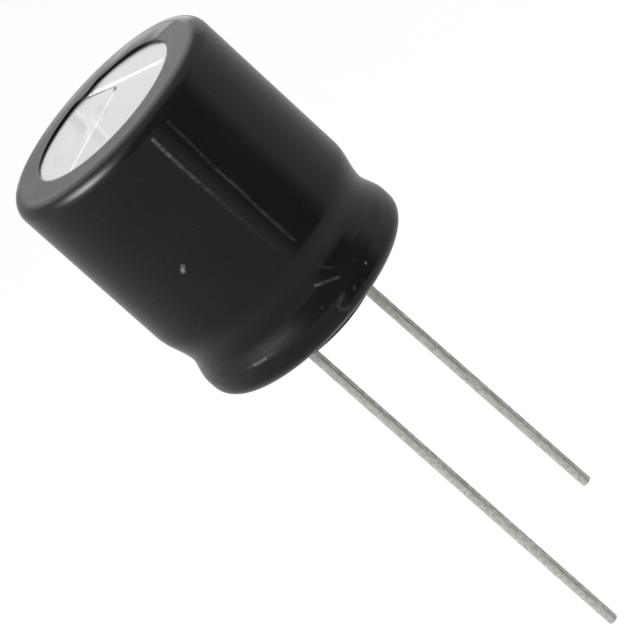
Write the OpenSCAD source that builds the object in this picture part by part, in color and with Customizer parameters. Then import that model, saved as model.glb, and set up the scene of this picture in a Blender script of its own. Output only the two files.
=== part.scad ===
// Radial aluminium electrolytic capacitor with a scored safety vent, a rolled bead and two wire leads.
// The origin is the middle of the seating pad on the can's axis. The vent end points up, the leads down.

/* [Can] */
// Outside diameter of the bare aluminium can
case_d = 17.9; // [16:0.1:20]
// Height of the bare can, from the underside of the curl to the vent end
case_h = 20; // [18:0.5:30]
// Wall thickness of the can
case_wall = 0.4; // [0.3:0.05:0.5]
// Thickness of the vent end
end_wall = 0.5; // [0.4:0.05:0.7]
// Outside radius of the rounded edge round the vent end
shoulder_r = 1; // [0.8:0.1:1.5]

/* [Rolled bead and curl] */
// Height of the bead's waist above the underside of the curl
bead_z = 3.4; // [3.2:0.1:4]
// Depth that the bead is rolled into the can
bead_depth = 1; // [0.8:0.05:1.2]
// Run of the bead from its waist up to the straight wall
bead_up = 3.1; // [2.6:0.1:3.6]
// Run of the bead from its waist down to the rim
bead_down = 2; // [1.6:0.1:2.2]
// How far the rim stands in from the straight wall
rim_inset = 0.1; // [0:0.05:0.2]
// Outside radius of the curled edge
curl_r = 0.95; // [0.8:0.05:1.1]

/* [Shrink sleeve] */
// Thickness of the shrink film
film_t = 0.14; // [0.08:0.02:0.2]
// Gap between the film and the can
film_fit = 0.01; // [0.01:0.01:0.03]
// Depth that the film is drawn into the bead, which it bridges
film_dip = 0.55; // [0.4:0.05:0.7]
// Diameter of the opening that the film leaves on the vent end
vent_open_d = 12.5; // [10:0.5:14]
// Turn of the film's foot round the curl, in degrees
foot_turn = 110; // [90:5:140]

/* [Vent score] */
// Width of the scored lines at the surface
score_w = 0.36; // [0.2:0.02:0.5]
// Depth of the scored lines
score_depth = 0.18; // [0.1:0.02:0.25]
// Distance of the bar of the T from the axis
bar_offset = 3.15; // [2:0.05:4]
// Length of the bar of the T
bar_len = 9.4; // [6:0.2:10]
// Shift of the bar along its own length, off the middle of the vent end
bar_shift = 0.2; // [0:0.1:0.4]
// Lean of the bar from square to the stem, in degrees
bar_lean = 10; // [0:1:15]
// Gap between the bar's middle line and the head of the stem
stem_gap = 0.8; // [0.3:0.1:1]
// Length of the stem of the T
stem_len = 8.2; // [6:0.2:8.6]
// Sideways shift of the stem from the axis
stem_shift = 0.2; // [0:0.1:0.6]
// Turn of the whole T about the axis, in degrees
score_turn = 3.5; // [0:0.5:90]

/* [Rubber bung] */
// Gap between the rubber and the can
bung_fit = 0.02; // [0.01:0.01:0.05]
// Height of the bung's inner face above the bead's waist
bung_above = 1.7; // [1.4:0.1:2.2]
// Drop of the seating pad below the underside of the curl
pad_drop = 1.5; // [1:0.1:1.8]
// Rubber round each lead to the edge of the seating pad, from the lead's axis
pad_margin = 1.35; // [1.1:0.05:1.5]
// Rounding of the seating pad's lower edge
pad_round = 0.35; // [0.2:0.05:0.6]
// Recess of the rubber's face above the underside of the curl
face_recess = 0.45; // [0.2:0.05:0.7]
// Gap between the rubber and each tab's round stem
bore_fit = 0.02; // [0.01:0.01:0.05]
// Gap round each lead at the mouth of its hole
mouth_gap = 0.25; // [0.15:0.05:0.4]

/* [Leads and tabs] */
// Spacing of the two leads
pitch = 7.5; // [5:0.5:9]
// Diameter of the lead wire
wire_d = 0.8; // [0.6:0.05:1]
// Length of the positive lead below the seating pad
long_lead = 31.1; // [20:0.1:40]
// Length of the negative lead below the seating pad
short_lead = 24.4; // [15:0.1:35]
// Chamfer on the cut end of each lead
tip_chamfer = 0.1; // [0.05:0.01:0.2]
// Height of the tapered weld between lead and tab
weld_h = 1; // [0.6:0.1:1.4]
// Diameter of the weld where it meets the tab
weld_d = 1.6; // [1.3:0.1:1.9]
// Diameter of each tab's round stem
stem_d = 2.2; // [2:0.1:2.6]
// Width of each tab's flat blade
blade_w = 2.6; // [2:0.1:3]
// Thickness of each tab's flat blade
blade_t = 0.3; // [0.2:0.05:0.4]
// Depth that each blade reaches into the winding
blade_in = 9; // [5:0.5:9]
// Height over which each stem is pressed from round to flat
press_h = 1; // [0.6:0.1:1.2]

/* [Winding] */
// Gap between the bung and the winding
roll_gap_low = 1.3; // [1.2:0.1:2]
// Gap between the winding and the vent end
roll_gap_high = 0.6; // [0.4:0.1:1]
// Gap between the tape and the can
roll_fit = 0.2; // [0.18:0.02:0.4]
// Diameter of the hollow core that the winding mandrel leaves
core_d = 3.2; // [2.4:0.2:3.6]
// Thickness of the closing tape
tape_t = 0.08; // [0.05:0.01:0.1]
// Gap between the tape and the winding
tape_fit = 0.01; // [0.01:0.01:0.02]
// Margin of bare winding above and below the tape
tape_margin = 1; // [0.5:0.1:2]
// Overlap of the tape's loose end, in degrees
tape_lap = 30; // [15:5:60]
// Radial step of the turns shown on the ends of the winding
turn_step = 0.8; // [0.6:0.1:1.2]
// Height that the paper stands above the foil on the ends of the winding
paper_rise = 0.4; // [0.2:0.05:0.5]
// Gap round each blade in the winding
blade_fit = 0.03; // [0.02:0.01:0.06]

/* [Hidden] */
$fn = 96;

// Angle between the points of a rounded edge, and the number of steps along each side of the bead
arc_step = 7.5;
bead_steps = 12;
// Points in each turn of the winding's spiral
turn_points = 20;
// Extra length that a cut runs past the face it opens
past = 0.5;

case_r = case_d / 2;
rim_r = case_r - rim_inset;
curl_z = pad_drop;
waist_z = curl_z + bead_z;
end_z = curl_z + case_h;
curl_centre = [rim_r - curl_r, curl_z + curl_r];
curl_in_r = rim_r - 2 * curl_r;
film_out = film_fit + film_t;
lead_x = pitch / 2;
wire_r = wire_d / 2;
pad_r = lead_x + pad_margin;
bung_top = waist_z + bung_above;
roll_z0 = bung_top + roll_gap_low;
roll_z1 = end_z - end_wall - roll_gap_high;
roll_r = case_r - case_wall - roll_fit - tape_t - tape_fit;
stem_top = bung_top + press_h;

// Share of the bead's depth at a distance from its waist, where run is the bead's length on that side
function bell(distance, run) = (1 + cos(180 * min(distance / run, 1))) / 2;

// Slope of the bead's outline at the same place, for a bead of unit depth
function bell_slope(distance, run) = distance < run ? 90 * PI / 180 * sin(180 * distance / run) / run : 0;

// Radius of the beaded wall at height z, for a surface grown by out and dipped by depth, then set in by inset
function wall_r(z, depth, out, inset) =
  let (
    above = z >= waist_z,
    run = above ? bead_up : bead_down,
    distance = abs(z - waist_z),
    start_r = (above ? case_r : rim_r) + out,
    side_depth = above ? depth : depth - rim_inset,
    slope = side_depth * bell_slope(distance, run)
  )
  start_r - side_depth * bell(distance, run) - inset * sqrt(1 + slope * slope);

// Points down the beaded wall, from the straight wall over the waist to the rim
function bead_points(depth, out, inset) = concat(
  [for (i = [bead_steps:-1:1]) let (z = waist_z + bead_up * i / bead_steps)
    [wall_r(z, depth, out, inset), z]],
  [for (i = [0:bead_steps]) let (z = waist_z - bead_down * i / bead_steps)
    [wall_r(z, depth, out, inset), z]]
);

// Points of an arc about a centre, from angle a0 to angle a1
function arc_points(centre, r, a0, a1) =
  let (n = ceil(abs(a1 - a0) / arc_step))
  [for (i = [0:n]) let (a = a0 + (a1 - a0) * i / n) centre + r * [cos(a), sin(a)]];

function reversed(points) = [for (i = [len(points) - 1:-1:0]) points[i]];

// Outline of one face of the film, from the vent opening to its foot, set in from the outside
function film_points(inset) = concat(
  [[vent_open_d / 2, end_z + film_out - inset]],
  arc_points([case_r - shoulder_r, end_z - shoulder_r], shoulder_r + film_out - inset, 90, 0),
  bead_points(film_dip, film_out, inset),
  arc_points(curl_centre, curl_r + film_out - inset, 0, -foot_turn)
);

// Outside of the can, from the middle of the vent end to the tip of the curl
function can_outer_points() = concat(
  [[0, end_z]],
  arc_points([case_r - shoulder_r, end_z - shoulder_r], shoulder_r, 90, 0),
  bead_points(bead_depth, 0, 0),
  arc_points(curl_centre, curl_r, 0, -180)
);

// Inside of the can, from the middle of the vent end to the tip of the curl
function can_inner_points() =
  let (corner_r = shoulder_r - case_wall)
  concat(
    [[0, end_z - end_wall]],
    arc_points([case_r - shoulder_r, end_z - end_wall - corner_r], corner_r, 90, 0),
    bead_points(bead_depth, 0, case_wall),
    arc_points(curl_centre, curl_r - case_wall, 0, -180)
  );

// Points of the spiral that the paper's edge makes, for one side of the paper
function spiral_points(r0, turns) =
  [for (i = [0:turns * turn_points]) let (a = 360 * i / turn_points)
    (r0 + turn_step * i / turn_points) * [cos(a), sin(a)]];

// One scored line along Y, with sloping sides and round ends
module score_line(length) {
  floor_w = score_w / 3;
  rise = score_depth + past;
  top_w = floor_w + (score_w - floor_w) * rise / score_depth;
  translate([0, 0, end_z - score_depth]) {
    rotate([90, 0, 0])
      linear_extrude(length, center = true)
        polygon([[-floor_w / 2, 0], [floor_w / 2, 0], [top_w / 2, rise], [-top_w / 2, rise]]);
    for (side = [-1, 1])
      translate([0, side * length / 2, 0])
        cylinder(h = rise, d1 = floor_w, d2 = top_w);
  }
}

// The T that lets the can's end open under pressure
module vent_score() {
  head_x = bar_offset - stem_gap;
  rotate(score_turn) {
    rotate(-bar_lean)
      translate([bar_offset, -bar_shift, 0])
        score_line(bar_len);
    translate([head_x - stem_len / 2, stem_shift, 0])
      rotate(90)
        score_line(stem_len);
  }
}

// Deep-drawn can, one piece from the scored end to the curled edge
module can() {
  color("silver")
    difference() {
      rotate_extrude()
        polygon(concat(can_outer_points(), reversed(can_inner_points())));
      vent_score();
    }
}

// Black film shrunk over the can, lapped onto the vent end and round the curl
module sleeve() {
  color("#2a2b2a")
    rotate_extrude()
      polygon(concat(film_points(0), reversed(film_points(film_t))));
}

// Hole through the bung for one lead: a bore for the tab's stem and a taper for the weld
module bung_hole() {
  bore_r = stem_d / 2 + bore_fit;
  mouth_r = wire_r + mouth_gap;
  translate([0, 0, weld_h])
    cylinder(h = bung_top - weld_h + past, r = bore_r);
  cylinder(h = weld_h, r1 = mouth_r, r2 = weld_d / 2 + bore_fit);
  translate([0, 0, -past])
    cylinder(h = past, r = mouth_r);
}

// Rubber bung, gripped at its waist by the bead and held in by the curl
module bung() {
  skin = case_wall + bung_fit;
  face_z = curl_z + face_recess;
  shoulder_z = curl_z + curl_r + bung_fit;
  neck_r = curl_in_r - bung_fit;
  color("#1d1d1d")
    difference() {
      rotate_extrude()
        polygon(concat(
          [[0, 0]],
          arc_points([pad_r - pad_round, pad_round], pad_round, -90, 0),
          [[pad_r, face_z], [neck_r, face_z], [neck_r, shoulder_z], [rim_r - skin, shoulder_z]],
          reversed([for (p = bead_points(bead_depth, 0, skin)) if (p.y < bung_top) p]),
          [[wall_r(bung_top, bead_depth, 0, skin), bung_top], [0, bung_top]]
        ));
      for (side = [-1, 1])
        translate([side * lead_x, 0, 0])
          bung_hole();
    }
}

// Space that one tab's blade takes in the winding, with its clearance
module blade_slot() {
  slot = [blade_t, blade_w, blade_in] + 2 * blade_fit * [1, 1, 0];
  translate([-slot.x / 2, -slot.y / 2, roll_z0 - past])
    cube(slot + [0, 0, past + blade_fit]);
}

// Spiral channel between the paper's turns on one end of the winding
module turn_channel() {
  turns = floor((roll_r - core_d / 2) / turn_step) - 1;
  inner_r = core_d / 2 + turn_step / 2;
  linear_extrude(paper_rise + past)
    polygon(concat(
      spiral_points(inner_r, turns),
      reversed(spiral_points(inner_r + turn_step / 2, turns))
    ));
}

// Foils and paper wound into one roll with a hollow core
module wound_element() {
  color("#c9b48a")
    difference() {
      translate([0, 0, roll_z0])
        cylinder(h = roll_z1 - roll_z0, r = roll_r);
      translate([0, 0, roll_z0 - past])
        cylinder(h = roll_z1 - roll_z0 + 2 * past, d = core_d);
      translate([0, 0, roll_z1 - paper_rise])
        turn_channel();
      translate([0, 0, roll_z0 - past])
        turn_channel();
      for (side = [-1, 1])
        translate([side * lead_x, 0, 0])
          blade_slot();
    }
}

// Tape that closes the winding, with its loose end lapped over
module closing_tape() {
  tape_h = roll_z1 - roll_z0 - 2 * tape_margin;
  inner_r = roll_r + tape_fit;
  color("#d8c27a")
    translate([0, 0, roll_z0 + tape_margin])
      difference() {
        cylinder(h = tape_h, r = inner_r + 2 * tape_t);
        translate([0, 0, -past])
          cylinder(h = tape_h + 2 * past, r = inner_r);
        rotate([0, 0, tape_lap / 2])
          translate([0, 0, -past])
            rotate_extrude(angle = 360 - tape_lap)
              translate([inner_r + tape_t, 0])
                square([tape_t + past, tape_h + 2 * past]);
      }
}

// Aluminium tab: a round stem in the bung, pressed flat into a blade that lies in the winding
module tab() {
  stem_r = stem_d / 2;
  blade_top = roll_z0 + blade_in;
  translate([0, 0, weld_h])
    cylinder(h = bung_top - weld_h, r = stem_r);
  intersection() {
    translate([0, 0, bung_top])
      cylinder(h = press_h, r = stem_r);
    rotate([90, 0, 0])
      linear_extrude(stem_d, center = true)
        polygon([
          [-stem_r, bung_top], [stem_r, bung_top],
          [blade_t / 2, stem_top], [-blade_t / 2, stem_top]
        ]);
  }
  translate([-blade_t / 2, -blade_w / 2, stem_top - blade_t])
    cube([blade_t, blade_w, blade_top - stem_top + blade_t]);
}

module positive_tab() {
  color("gainsboro")
    translate([-lead_x, 0, 0])
      tab();
}

module negative_tab() {
  color("gainsboro")
    translate([lead_x, 0, 0])
      tab();
}

// Tinned wire lead of one length, tapered up into the weld that joins it to its tab
module lead(length) {
  cylinder(h = weld_h, d1 = wire_d, d2 = weld_d);
  translate([0, 0, tip_chamfer - length])
    cylinder(h = length - tip_chamfer, d = wire_d);
  translate([0, 0, -length])
    cylinder(h = tip_chamfer, d1 = wire_d - 2 * tip_chamfer, d2 = wire_d);
}

module positive_lead() {
  color("#a5a69f")
    translate([-lead_x, 0, 0])
      lead(long_lead);
}

module negative_lead() {
  color("#a5a69f")
    translate([lead_x, 0, 0])
      lead(short_lead);
}

sleeve();
can();
bung();
wound_element();
closing_tape();
positive_tab();
negative_tab();
positive_lead();
negative_lead();
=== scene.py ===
"""Looks of a radial aluminium electrolytic capacitor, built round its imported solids.

Every size below is in millimetres unless it says otherwise, and to_metres() turns it into
the frame's metres. The frame's origin is the middle of the rubber seating pad, the vent
end points up and the leads point down.
"""

from __future__ import annotations

import logging
import math
from collections.abc import Callable
from dataclasses import dataclass, field
from enum import Enum

import bpy
import numpy as np
from mathutils import Matrix


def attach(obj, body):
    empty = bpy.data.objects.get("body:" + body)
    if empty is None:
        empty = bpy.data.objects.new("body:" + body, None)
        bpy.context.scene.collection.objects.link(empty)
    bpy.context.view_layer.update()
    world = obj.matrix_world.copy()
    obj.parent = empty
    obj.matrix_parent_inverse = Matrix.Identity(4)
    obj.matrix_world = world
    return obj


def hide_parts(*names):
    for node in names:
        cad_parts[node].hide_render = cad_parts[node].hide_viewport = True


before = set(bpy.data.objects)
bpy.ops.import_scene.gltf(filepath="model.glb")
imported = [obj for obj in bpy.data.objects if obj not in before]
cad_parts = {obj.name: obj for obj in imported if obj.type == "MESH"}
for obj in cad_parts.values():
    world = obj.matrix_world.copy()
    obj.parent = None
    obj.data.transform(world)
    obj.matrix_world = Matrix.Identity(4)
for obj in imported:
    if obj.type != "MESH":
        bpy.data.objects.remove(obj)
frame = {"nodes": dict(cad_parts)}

LOG = logging.getLogger("capacitor")
ROOT = "root"
MM = 0.001
SHARP_PAST = 40.0
SAME_POINT = 1e-6

Colour = tuple[float, float, float]
Point = tuple[float, float, float]
Socket = bpy.types.NodeSocket
Input = float | Colour | Socket


class Ends(Enum):
    """How the first and last rows of a turned surface close."""

    LOOP = "the last row joins the first"
    POLES = "each end row shrinks to one point"


class Pattern(Enum):
    """Which coordinate a pattern follows: the piece's own places, or the ways round the studio."""

    OBJECT = "Object"
    WAY = "Generated"


def to_metres(value: np.ndarray) -> np.ndarray:
    """Millimetres to metres."""
    return np.asarray(value, float) * MM


def arc(centre: tuple[float, float], radius: float, start: float, end: float, step: float) -> np.ndarray:
    """Points of an arc: centre plus radius times the cosine and sine of each angle.

    Args:
        centre: The arc's centre, as radius and height.
        radius: The arc's radius.
        start: First angle in degrees.
        end: Last angle in degrees.
        step: Largest angle between two points, in degrees.

    Returns:
        The points, one row each.
    """
    count = max(2, math.ceil(abs(end - start) / step) + 1)
    angle = np.radians(np.linspace(start, end, count))
    return np.column_stack([centre[0] + radius * np.cos(angle), centre[1] + radius * np.sin(angle)])


def joined(*parts: np.ndarray) -> np.ndarray:
    """Profile parts in order, with points that repeat the one before left out.

    Args:
        *parts: Arrays of profile points.

    Returns:
        One array of profile points.
    """
    points = np.concatenate(parts)
    step = np.linalg.norm(np.diff(points, axis=0), axis=1)
    keep = np.concatenate([[True], step > SAME_POINT])
    return points[keep]


def line(first: tuple[float, float], last: tuple[float, float], count: int) -> np.ndarray:
    """Evenly spaced points from first to last.

    Args:
        first: First point.
        last: Last point.
        count: Number of points.

    Returns:
        The points, one row each.
    """
    return np.linspace(np.array(first, float), np.array(last, float), count)


def signed_volume(points: np.ndarray, faces: list[np.ndarray]) -> float:
    """Volume inside a closed mesh, positive where its faces point outwards.

    The sum over the triangles of a dot (b cross c), over six.

    Args:
        points: Vertex places.
        faces: Arrays of triangles or quads.

    Returns:
        The volume.
    """
    total = 0.0
    for block in faces:
        for k in range(1, block.shape[1] - 1):
            a, b, c = points[block[:, 0]], points[block[:, k]], points[block[:, k + 1]]
            total += float(np.einsum("ij,ij->", a, np.cross(b, c)))
    return total / 6


def shade_smooth(mesh: bpy.types.Mesh, crease: float) -> None:
    """Shades a mesh smooth, apart from its edges past an angle in degrees."""
    mesh.polygons.foreach_set("use_smooth", np.ones(len(mesh.polygons), bool))
    mesh.set_sharp_from_angle(angle=math.radians(crease))


def mesh_object(
    name: str, points: np.ndarray, faces: list[np.ndarray], crease: float = SHARP_PAST
) -> bpy.types.Object:
    """A closed mesh object at the origin, its faces turned outwards and shaded smooth.

    Args:
        name: Name of the piece.
        points: Vertex places in millimetres.
        faces: Arrays of triangles or quads.
        crease: Angle in degrees past which an edge stays sharp.

    Returns:
        The new object, linked to the scene.
    """
    if signed_volume(points, faces) < 0:
        faces = [block[:, ::-1] for block in faces]
    rows = [row for block in faces for row in block.tolist()]
    mesh = bpy.data.meshes.new(name)
    mesh.from_pydata(to_metres(points).tolist(), [], rows)
    shade_smooth(mesh, crease)
    mesh.update()
    piece = bpy.data.objects.new(name, mesh)
    bpy.context.scene.collection.objects.link(piece)
    return piece


def wrapped_quads(first: np.ndarray, second: np.ndarray) -> np.ndarray:
    """Quads between two closed rows of vertex numbers of the same length.

    Args:
        first: Vertex numbers of the first row, or rows.
        second: Vertex numbers of the next row, or rows.

    Returns:
        The quads, one row each.
    """
    first, second = np.atleast_2d(first), np.atleast_2d(second)
    after = (np.roll(first, -1, axis=1), np.roll(second, -1, axis=1))
    return np.stack([first, second, after[1], after[0]], axis=-1).reshape(-1, 4)


def even_angles(count: int) -> np.ndarray:
    """Angles in radians of evenly spaced steps round the axis."""
    return np.linspace(0, 2 * np.pi, count, endpoint=False)


def turned_place(x: float, y: float, angle: float) -> tuple[float, float]:
    """A place turned about the axis by an angle in radians."""
    return (x * math.cos(angle) - y * math.sin(angle), x * math.sin(angle) + y * math.cos(angle))


def off_angle(angle: np.ndarray, middle: float) -> np.ndarray:
    """Degrees between angles in radians and a middle in degrees, from -180 to 180."""
    return (np.degrees(angle) - middle + 180) % 360 - 180


def turned_grid(profile: np.ndarray, angle: np.ndarray) -> np.ndarray:
    """A profile turned about Z: (radius cos t, radius sin t, height) for each point and angle t.

    Args:
        profile: Points as radius and height.
        angle: Angles of the steps round the axis, in radians.

    Returns:
        Places on a grid, a row for each profile point.
    """
    radius, height = profile[:, :1], profile[:, 1:]
    return np.stack([radius * np.cos(angle), radius * np.sin(angle), height + 0 * angle], axis=-1)


def grid_object(name: str, grid: np.ndarray, ends: Ends, crease: float = SHARP_PAST) -> bpy.types.Object:
    """A closed object from a grid of places that wraps round in its second direction.

    Args:
        name: Name of the piece.
        grid: Places, a row for each profile point and a column for each step round.
        ends: How the first and last rows close.
        crease: Angle in degrees past which an edge stays sharp.

    Returns:
        The new object.
    """
    rows, columns = grid.shape[:2]
    if ends is Ends.LOOP:
        number = np.arange(rows * columns).reshape(rows, columns)
        faces = [wrapped_quads(number, np.roll(number, -1, axis=0))]
        return mesh_object(name, grid.reshape(-1, 3), faces, crease)
    inner = grid[1:-1]
    number = np.arange(inner.shape[0] * columns).reshape(-1, columns)
    top, bottom = number.size, number.size + 1
    first, last = number[0], number[-1]
    fans = [
        np.column_stack([np.full(columns, top), first, np.roll(first, -1)]),
        np.column_stack([np.full(columns, bottom), np.roll(last, -1), last]),
    ]
    points = np.concatenate([inner.reshape(-1, 3), grid[0].mean(0)[None], grid[-1].mean(0)[None]])
    return mesh_object(name, points, [wrapped_quads(number[:-1], number[1:]), *fans], crease)


class NodeSketch:
    """A node tree, with short calls that add a node and join its sockets."""

    def __init__(self, tree: bpy.types.NodeTree, pattern: Pattern = Pattern.OBJECT) -> None:
        """Takes a tree to draw in.

        Args:
            tree: The node tree.
            pattern: The coordinates that its patterns follow.
        """
        self.tree = tree
        self.pattern = pattern
        self._place: Socket | None = None

    def add(self, kind: str, **settings: object) -> bpy.types.Node:
        """Adds a node.

        Args:
            kind: The node's type name.
            **settings: Values for the node's own properties.

        Returns:
            The node.
        """
        made = self.tree.nodes.new(kind)
        for key, value in settings.items():
            setattr(made, key, value)
        return made

    def feed(self, target: Socket, value: Input) -> None:
        """Sets a socket to a number or colour, or joins another socket to it.

        Args:
            target: The socket that takes the value.
            value: A number, a colour or a socket.
        """
        if isinstance(value, Socket):
            self.tree.links.new(value, target)
        elif target.type == "RGBA":
            target.default_value = (*value, 1.0)
        else:
            target.default_value = value

    def place(self) -> Socket:
        """The coordinates that the patterns follow, in metres on a piece.

        Returns:
            The vector socket, the same one each time.
        """
        if self._place is None:
            self._place = self.add("ShaderNodeTexCoord").outputs[self.pattern.value]
        return self._place

    def stretched(self, scale: Point, turn: float = 0.0) -> Socket:
        """Object coordinates times a scale for each axis, turned about Z.

        Args:
            scale: Cycles for each metre along each axis.
            turn: Turn about Z in degrees.

        Returns:
            The vector socket.
        """
        mapping = self.add("ShaderNodeMapping")
        self.feed(mapping.inputs["Vector"], self.place())
        mapping.inputs["Scale"].default_value = scale
        mapping.inputs["Rotation"].default_value = (0.0, 0.0, math.radians(turn))
        return mapping.outputs["Vector"]

    def math(self, operation: str, first: Input, second: Input = 0.0, clamp: bool = False) -> Socket:
        """A sum worked out by a Math node.

        Args:
            operation: The Math node's operation.
            first: First value.
            second: Second value.
            clamp: Whether the result is kept from 0 to 1.

        Returns:
            The result.
        """
        made = self.add("ShaderNodeMath", operation=operation, use_clamp=clamp)
        self.feed(made.inputs[0], first)
        self.feed(made.inputs[1], second)
        return made.outputs[0]

    def between(
        self, value: Input, low: float, high: float, out_low: float = 0.0, out_high: float = 1.0
    ) -> Socket:
        """A value's smooth step from low to high, given out between two other values.

        Args:
            value: The value.
            low: Where the step starts.
            high: Where it ends.
            out_low: Result at and below low.
            out_high: Result at and above high.

        Returns:
            The result.
        """
        made = self.add("ShaderNodeMapRange", interpolation_type="SMOOTHSTEP")
        for socket, number in zip(made.inputs[:5], (value, low, high, out_low, out_high)):
            self.feed(socket, number)
        return made.outputs[0]

    def noise(self, vector: Socket, scale: float, detail: float = 2.0, distortion: float = 0.0) -> Socket:
        """Soft noise from 0 to 1.

        Args:
            vector: Coordinates.
            scale: Cycles for each unit of the coordinates.
            detail: Octaves.
            distortion: How far the noise is pulled about.

        Returns:
            The noise.
        """
        made = self.add("ShaderNodeTexNoise")
        self.feed(made.inputs["Vector"], vector)
        made.inputs["Scale"].default_value = scale
        made.inputs["Detail"].default_value = detail
        made.inputs["Distortion"].default_value = distortion
        return made.outputs["Fac"]

    def blend(self, share: Input, first: Input, second: Input) -> Socket:
        """A colour between two others.

        A Mix node keeps its colours at inputs 6 and 7 and at output 2.

        Args:
            share: Share of the second colour.
            first: First colour.
            second: Second colour.

        Returns:
            The colour.
        """
        made = self.add("ShaderNodeMix", data_type="RGBA")
        self.feed(made.inputs["Factor"], share)
        self.feed(made.inputs[6], first)
        self.feed(made.inputs[7], second)
        return made.outputs[2]

    def bump(self, height: Socket, depth: float, under: Socket | None = None) -> Socket:
        """A normal bent by a height.

        Args:
            height: Height from 0 to 1.
            depth: What a height of 1 stands for, in millimetres.
            under: A normal that this one adds to.

        Returns:
            The normal.
        """
        made = self.add("ShaderNodeBump")
        made.inputs["Distance"].default_value = depth * MM
        self.feed(made.inputs["Height"], height)
        if under is not None:
            self.feed(made.inputs["Normal"], under)
        return made.outputs["Normal"]

    def split(self) -> tuple[Socket, ...]:
        """The three parts of the coordinates that the patterns follow.

        Returns:
            Their sockets, x, y and z.
        """
        made = self.add("ShaderNodeSeparateXYZ")
        self.feed(made.inputs[0], self.place())
        return tuple(made.outputs)

    def from_axis(self) -> Socket:
        """How far a place is from the Z axis, the root of x squared plus y squared.

        Returns:
            The distance.
        """
        x, y, _ = self.split()
        square = self.math("ADD", self.math("MULTIPLY", x, x), self.math("MULTIPLY", y, y))
        return self.math("SQRT", square)

    def vector(self, operation: str, first: Input, second: Input = (0.0, 0.0, 0.0)) -> bpy.types.Node:
        """A Vector Math node.

        Args:
            operation: The node's operation.
            first: First vector.
            second: Second vector.

        Returns:
            The node, whose outputs are Vector and Value.
        """
        made = self.add("ShaderNodeVectorMath", operation=operation)
        self.feed(made.inputs[0], first)
        self.feed(made.inputs[1], second)
        return made

    def glow(self, kind: str, strength: Input) -> Socket:
        """A white shader that gives light.

        Args:
            kind: The node's type name, an Emission or a Background.
            strength: Its radiance.

        Returns:
            The shader.
        """
        made = self.add(kind)
        self.feed(made.inputs["Color"], (1.0, 1.0, 1.0))
        self.feed(made.inputs["Strength"], strength)
        return made.outputs[0]

    def choose(self, share: Input, first: Socket, second: Socket) -> Socket:
        """A shader between two others.

        Args:
            share: Share of the second shader.
            first: First shader.
            second: Second shader.

        Returns:
            The shader.
        """
        made = self.add("ShaderNodeMixShader")
        for socket, value in zip(made.inputs, (share, first, second)):
            self.feed(socket, value)
        return made.outputs[0]


class SurfaceSketch(NodeSketch):
    """The node tree of a new material that has one principled shader."""

    def __init__(self, name: str) -> None:
        """Starts a material.

        Args:
            name: Name of the material.
        """
        self.material = bpy.data.materials.new(name)
        self.material.use_nodes = True
        super().__init__(self.material.node_tree)
        self.surface = self.tree.nodes["Principled BSDF"]

    def set(self, **values: Input) -> None:
        """Sets the shader's sockets.

        Args:
            **values: A value for each socket, its name written with low lines for spaces.
        """
        for key, value in values.items():
            self.feed(self.surface.inputs[key.replace("_", " ")], value)


@dataclass(frozen=True)
class Step:
    """A smooth step of a value.

    Attributes:
        low: Where it starts.
        high: Where it ends.
        out_low: Result at and below low.
        out_high: Result at and above high.
    """

    low: float
    high: float
    out_low: float = 0.0
    out_high: float = 1.0

    def of(self, sketch: NodeSketch, value: Input) -> Socket:
        """The step of a value, drawn in a node tree."""
        return sketch.between(value, self.low, self.high, self.out_low, self.out_high)


@dataclass(frozen=True)
class Stroke:
    """One soft stroke on a surface that is laid out flat.

    Attributes:
        path: Its corners, as places on the flat surface.
        half_width: Half its width.
        strength: How much it shows, 1 for fully.
    """

    path: tuple[tuple[float, float], ...]
    half_width: float
    strength: float

    def mask(self, sketch: NodeSketch, flat: Socket, scale: tuple[float, float]) -> Input:
        """The stroke's strength at each place, which fades with the distance from its path.

        The place less a leg's start, dotted with the leg over its length squared and kept
        from 0 to 1, gives the nearest point of the leg. The strongest leg counts.

        Args:
            sketch: The material's node tree.
            flat: The place on the flat surface, in metres.
            scale: Metres for one unit of the path, along each of its two ways.

        Returns:
            The mask.
        """
        total: Input = 0.0
        bends = np.array(self.path) * scale
        for start, end in zip(bends[:-1], bends[1:]):
            run = end - start
            away = sketch.vector("SUBTRACT", flat, (*start, 0.0)).outputs["Vector"]
            share = sketch.vector("DOT_PRODUCT", away, (*(run / (run @ run)), 0.0)).outputs["Value"]
            reach = sketch.vector("SCALE", (*run, 0.0))
            sketch.feed(reach.inputs["Scale"], sketch.math("ADD", share, 0.0, clamp=True))
            rest = sketch.vector("SUBTRACT", away, reach.outputs["Vector"]).outputs["Vector"]
            distance = sketch.vector("LENGTH", rest).outputs["Value"]
            leg = sketch.between(distance, 0.0, self.half_width * MM, self.strength, 0.0)
            total = sketch.math("MAXIMUM", total, leg)
        return total


def all_strokes(
    sketch: NodeSketch, flat: Socket, strokes: tuple[Stroke, ...], scale: tuple[float, float] = (MM, MM)
) -> Input:
    """The strongest of several strokes at each place.

    Args:
        sketch: The material's node tree.
        flat: The place on the flat surface, in metres.
        strokes: The strokes.
        scale: Metres for one unit of their paths, along each of their two ways.

    Returns:
        The mask.
    """
    total: Input = 0.0
    for stroke in strokes:
        total = sketch.math("MAXIMUM", total, stroke.mask(sketch, flat, scale))
    return total


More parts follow.
